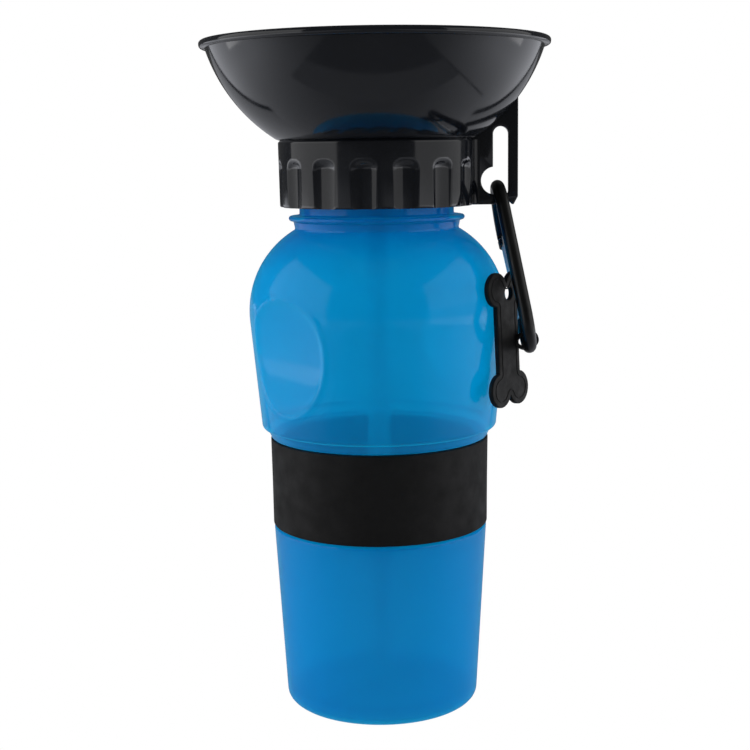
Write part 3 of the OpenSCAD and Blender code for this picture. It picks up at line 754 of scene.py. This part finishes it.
def plate_outline():
    """From the collar out under the notch, up the outer edge and back under the bowl."""
    inside, root_x, sunk = 30.2, 33.5, 0.6
    arc_r = BOWL_ARC_R - sunk
    lowest = math.degrees(math.acos((root_x - BOWL_ARC_X) / arc_r))
    highest = math.degrees(math.acos((PLATE_REACH - BOWL_ARC_X) / arc_r))
    under_bowl = arc(BOWL_ARC_X, BOWL_ARC_Z, arc_r, -highest, -lowest, 14)
    notch = arc(KEY_X + NOTCH_SHIFT, COLLAR_Z - NOTCH_R + NOTCH_RISE, NOTCH_R, 143, 37, 10)
    foot_x = PLATE_REACH - CHAMFER_X
    edge = rounded([(foot_x - 0.5, COLLAR_Z, 0), (foot_x, COLLAR_Z, 0.4),
                    (PLATE_REACH, COLLAR_Z + CHAMFER_Z, 0.8), (PLATE_REACH, under_bowl[0][1], 0)], 4)
    return [(inside, COLLAR_Z)] + notch + edge[1:] + under_bowl + [(inside, COLLAR_TOP_Z - 0.56)]


def keyhole_outline():
    """A round eye that opens upwards into a slot."""
    half = KEY_SLOT_W / 2
    eye_x, eye_z = KEY_X + half - KEY_EYE_R, KEY_Z + KEY_EYE_R
    top_z = KEY_Z + KEY_H - half
    opening = math.degrees(math.acos((KEY_X - half - eye_x) / KEY_EYE_R))
    foot = rounded([(eye_x, KEY_Z, 0), (KEY_X + half, KEY_Z, 1), (KEY_X + half, top_z, 0)], 4)
    return arc(eye_x, eye_z, KEY_EYE_R, opening, 270, 22) + foot[1:] + arc(KEY_X, top_z, half, 0, 180, 16)[1:]


def make_hanger():
    mesh = outline_mesh("hanger_plate", [plate_outline(), keyhole_outline()], PLATE_T, PLATE_BEVEL)
    mesh.transform(turn("X", 90))
    dress("hanger_plate", mesh, "lid_plastic", "lid", 30)


def make_plate_roots():
    """Fillets that blend both faces of the plate into the collar."""
    face, collar, inside = PLATE_T / 2, COLLAR_R + 0.05, 30.9
    centre_x = math.sqrt((collar + ROOT_FILLET) ** 2 - (face + ROOT_FILLET) ** 2)
    meet = math.degrees(math.atan2(face + ROOT_FILLET, -centre_x))
    curve = arc(centre_x, -face - ROOT_FILLET, ROOT_FILLET, 90, meet, 12)
    loop = [(inside, -face / 2)] + curve + [(inside, -2 * face)]
    n = len(loop)
    verts, faces = [], []
    for side in (1, -1):
        first = len(verts)
        for z in (COLLAR_Z + 0.35, COLLAR_TOP_Z - 0.4):
            verts += [(x, y * side, z) for x, y in loop]
        faces += [[first + k, first + (k + 1) % n, first + n + (k + 1) % n, first + n + k] for k in range(n)]
        faces += [list(range(first, first + n)), list(range(first + n, first + 2 * n))]
    add_piece("plate_roots", verts, faces, "lid_plastic", "lid", 30)


make_bowl()
make_hanger()
make_plate_roots()


# ---------------------------------------------------------------- bone tag
# It hangs on the carabiner, whose rod lies just above the keyhole's sill at the pivot
ROD_R, HANG_GAP = 2.2, 0.4
CARAB_L, CARAB_LEAN, CARAB_TURN = 62, 9.6, 26
BEND_TOP_R, BEND_FOOT_R = 12, 8
TAG_L, TAG_W, TAG_T, TAG_BEVEL = 44, 21.6, 1.8, 0.4
TAG_SHAFT_W, TAG_LOBE_R = 12.2, 5.6
TAG_FACE, TAG_LEAN, TAG_SIDE, TAG_Z = 52, 3, 10.7, 127.5
TAG_BELLY_GAP = 0.6
EYELET_AT, EYELET_R = (1.2, TAG_L / 2 - 7), 2.2
CONTOUR_IN, CONTOUR_R, CONTOUR_SUNK = 1.9, 0.24, 0.04
LUG_AT, LUG_PLAY, LUG_WALL, LUG_W = -60, 0.75, 0.95, 1.6
WEB_R, WEB_START = 0.86, 3.2

PIVOT = (KEY_X - 1, 0, KEY_Z + ROD_R + HANG_GAP)
SPINE_L = CARAB_L - 2 * ROD_R - BEND_TOP_R - BEND_FOOT_R
LOBE_X, LOBE_Z, SHAFT_X = TAG_W / 2 - TAG_LOBE_R, TAG_L / 2 - TAG_LOBE_R, TAG_SHAFT_W / 2
IN_CARABINER = move(*PIVOT) @ turn("Y", -CARAB_LEAN) @ move(0, 0, -BEND_TOP_R) @ turn("X", -CARAB_TURN)
IN_FOOT = IN_CARABINER @ move(0, BEND_FOOT_R - BEND_TOP_R, -SPINE_L) @ turn("X", -LUG_AT)
IN_LUG = IN_FOOT @ move(0, 0, -BEND_FOOT_R) @ turn("X", 90)
TAG_OUT = BELLY_R + TAG_BELLY_GAP + TAG_T / 2
IN_TAG = turn("Z", TAG_FACE) @ move(TAG_SIDE, -TAG_OUT, TAG_Z) @ turn("X", -TAG_LEAN)


def bone_outline(inset, steps):
    """The bone's outline in the XZ plane, drawn in by inset."""
    drop = math.sqrt(TAG_LOBE_R ** 2 - (SHAFT_X - LOBE_X) ** 2)
    low = math.degrees(math.asin(drop / TAG_LOBE_R))
    rise = math.sqrt(TAG_LOBE_R ** 2 - LOBE_X ** 2)
    notch = math.degrees(math.acos(LOBE_X / TAG_LOBE_R))
    quarter = [(SHAFT_X - inset, 0)]
    if inset:
        quarter += arc(SHAFT_X, LOBE_Z - drop, inset, 180, 180 - low, 6)
    quarter += arc(LOBE_X, LOBE_Z, TAG_LOBE_R - inset, -low, 180 - notch, steps)
    if inset:
        quarter += arc(0, LOBE_Z + rise, inset, -notch, -90, 6)
    top = quarter + [(-x, z) for x, z in quarter[::-1]]
    loop = top + [(-x, -z) for x, z in top]
    return [q for k, q in enumerate(loop) if math.dist(q, loop[k - 1]) > 1e-3]


def make_tag():
    eyelet = arc(*EYELET_AT, EYELET_R, 0, 350, 35)
    mesh = outline_mesh("tag_plate", [bone_outline(0, 18), eyelet], TAG_T, TAG_BEVEL)
    mesh.transform(turn("X", 90))
    mesh.transform(in_metres(IN_TAG))
    dress("tag_plate", mesh, "tag_rubber", "tag", 40, ["bone_tag"])
    # A raised contour on the front face, as a half-sunk bead
    front = CONTOUR_SUNK - TAG_T / 2
    verts, faces = sweep([(x, front, z) for x, z in bone_outline(CONTOUR_IN, 14)], CONTOUR_R, 8, closed=True)
    add_piece("tag_contour", placed(verts, IN_TAG), faces, "tag_rubber", "tag", 80)


def make_lug():
    """The ring round the carabiner's foot, and the web that joins it to the tag's edge."""
    bore_r, half = ROD_R + LUG_PLAY, LUG_W / 2
    outer_r = bore_r + LUG_WALL
    ring = rounded([(bore_r, 0, 0), (bore_r, -half, 0.3), (outer_r, -half, 0.35), (outer_r, half, 0.35),
                    (bore_r, half, 0.3), (bore_r, 0, 0)], 4)
    verts, faces = lathe(ring[:-1], 64, closed=True)
    add_piece("tag_lug", placed(verts, IN_LUG), faces, "tag_rubber", "tag", 60)
    edge, middle = IN_TAG @ Vector((SHAFT_X - 1, 0, 0)), IN_LUG.translation
    way = edge - middle
    verts, faces = sweep([middle + way * (WEB_START / way.length), middle + way * 0.9, edge], WEB_R, 16)
    add_piece("tag_web", verts, faces, "tag_rubber", "tag", 50)


make_tag()
make_lug()


# ---------------------------------------------------------------- carried-over nodes
FINISH = {
    "lid_gasket": "seal_rubber",
    "water_tube": "tube_plastic",
    "carabiner_frame": "black_metal",
    "carabiner_gate": "bright_metal",
    "gate_hinge_pin": "bright_metal",
    "gate_latch_pin": "bright_metal",
    "gate_spring": "bright_metal",
}
for node, slot in FINISH.items():
    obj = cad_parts[node]
    obj.data.materials.clear()
    obj.data.materials.append(MATS[slot])


# ---------------------------------------------------------------- studio
# Radiance of the world to matte faces, in reflections, and to the camera
ROOM, DIM, WHITE = 0.4, 0.07, 1.0
SEEN = ("Is Camera Ray", "Is Transmission Ray")
MIRRORED = ("Is Glossy Ray",)


def ray_mix(n, rays, first, second):
    """Shows second to the named kinds of ray and first to all others."""
    path = n.add("ShaderNodeLightPath")
    share = path.outputs[rays[0]]
    for ray in rays[1:]:
        share = n.math("MAXIMUM", share, path.outputs[ray])
    return n.mixed(share, first, second)


class WorldNodes(Nodes):
    """The world's nodes, added by the same short calls."""

    def __init__(self, world):
        world.use_nodes = True
        self.tree = world.node_tree
        self.tree.nodes.clear()
        self.out = self.tree.nodes.new("ShaderNodeOutputWorld")

    def glow(self, level):
        return self.add("ShaderNodeBackground", Color=(1, 1, 1, 1), Strength=level).outputs[0]


def make_world():
    """White to the camera and through the bottle, a soft room to matte faces, a dim one in reflections."""
    scene.world = bpy.data.worlds.new("studio")
    n = WorldNodes(scene.world)
    room = ray_mix(n, MIRRORED, n.glow(ROOM), n.glow(DIM))
    n.link(ray_mix(n, SEEN, room, n.glow(WHITE)), n.out.inputs["Surface"])


def table_level(n):
    """Radiance of the table in reflections: lit at both sides, with a sheet, two seams and a thin edge."""
    place = n.axes()
    across, along = place["X"], place["Y"]
    aside = n.math("ABSOLUTE", across)
    soft = 0.007

    def step(value, at, low, high):
        return n.ramp(value, at - soft, at + soft, low, high)

    level = n.product(n.ramp(aside, 0.0, 0.55, 0.25, 1.08), n.ramp(along, -0.36, 0.04, 0.4, 1))
    # A dim sheet lies in front of the object, darker in its front part
    sheet_half, sheet_back, sheet_split = 0.235, -0.081, -0.185
    sheet = n.product(step(aside, sheet_half, 1, 0), step(along, sheet_back, 1, 0))
    level = n.blend(sheet, level, step(along, sheet_split, 0.15, 0.27))
    # Both seams run back from one point in front, so x / (y + apex) is constant along each
    apex, seam_slope, seam_half, skew = 0.242, 0.56, 0.032, 0.03
    between, edge_share, darkest = 0.42, 0.6, 0.04
    slope = n.math("DIVIDE", across, n.math("MAXIMUM", n.math("ADD", along, apex), 0.01))
    slope = n.math("ABSOLUTE", n.math("ADD", slope, skew))
    behind = n.ramp(along, 0.12, 0.16, 0, 1)
    level = n.blend(n.product(n.ramp(slope, 0.535, 0.55, 1, 0), behind), level, between)
    seam = n.product(n.band(slope, seam_slope, seam_half), behind)
    # A thin edge runs back at the right, leaning outwards
    edge_x, edge_half, edge_lean = 0.247, 0.005, 0.08
    edge_middle, edge_reach = -0.045, 0.175
    leaning = n.math("SUBTRACT", across, n.product(along, edge_lean))
    edge = n.product(n.band(leaning, edge_x, edge_half), n.band(along, edge_middle, edge_reach))
    dark = n.math("MAXIMUM", seam, n.product(edge, edge_share))
    return n.product(level, n.ramp(dark, 0, 1, 1, darkest))


def make_floor():
    """Pale grey to the light, white to the camera, the table to glossy faces, and open from below."""
    size = 3.0
    mesh = bpy.data.meshes.new("floor")
    corners = [(-size, -size, 0), (size, -size, 0), (size, size, 0), (-size, size, 0)]
    mesh.from_pydata(corners, [], [[0, 1, 2, 3]])
    obj = bpy.data.objects.new("floor", mesh)
    scene.collection.objects.link(obj)
    n = Nodes("floor")
    n.set(Base_Color=(0.5, 0.5, 0.5, 1), Roughness=0.9)
    white = n.add("ShaderNodeEmission", Color=(1, 1, 1, 1), Strength=WHITE)
    table = n.add("ShaderNodeEmission", Color=(0.96, 0.98, 1.05, 1))
    n.link(table_level(n), table.inputs["Strength"])
    lit = ray_mix(n, MIRRORED, n.bsdf.outputs[0], table.outputs[0])
    seen = ray_mix(n, SEEN, lit, white.outputs[0])
    n.link(n.mixed(n.backfacing(), seen, n.clear()), n.out.inputs["Surface"])
    mesh.materials.append(n.mat)


def make_light(name, at, target, size, watts, mirrored):
    """A soft light; one that isn't mirrored shows in no reflection."""
    data = bpy.data.lights.new(name, "AREA")
    data.shape = "RECTANGLE"
    data.size, data.size_y = size
    data.energy = watts
    obj = bpy.data.objects.new(name, data)
    obj.location = at
    obj.rotation_euler = (Vector(target) - Vector(at)).to_track_quat("-Z", "Y").to_euler()
    obj.visible_glossy = mirrored
    scene.collection.objects.link(obj)


# Tall panels beside the object, in strips with their own radiance from the table up
PANEL_X, PANEL_Y, PANEL_DEPTH = 0.75, -0.2, 1.1
PANEL_EDGES = (0.0, 0.09, 0.234, 0.807)
# Lights that brighten the object and are not mirrored: place, aim, size and watts
FILLS = {
    "left_fill": ((-0.5, 0.0, 0.16), (0, 0, 0.11), (0.5, 0.3), 2.1),
    "right_fill": ((0.5, 0.0, 0.16), (0, 0, 0.11), (0.5, 0.3), 1.7),
    "top_box": ((-0.05, -0.35, 0.95), (0, 0, 0.1), (0.6, 0.5), 3.6),
}


def make_panel(name, x, levels):
    """Stacks a panel's strips; levels are their radiances."""
    for part, (low, high, level) in enumerate(zip(PANEL_EDGES, PANEL_EDGES[1:], levels)):
        z = (low + high) / 2
        watts = level * PI * PANEL_DEPTH * (high - low)
        size = (PANEL_DEPTH, high - low)
        make_light(f"{name}_{part}", (x, PANEL_Y, z), (0, PANEL_Y, z), size, watts, mirrored=True)


make_world()
make_floor()
make_panel("left", -PANEL_X, (1.15, 0.7, 1.0))
make_panel("right", PANEL_X, (1.0, 0.5, 0.8))
for name, (at, target, size, watts) in FILLS.items():
    make_light(name, at, target, size, watts, mirrored=False)
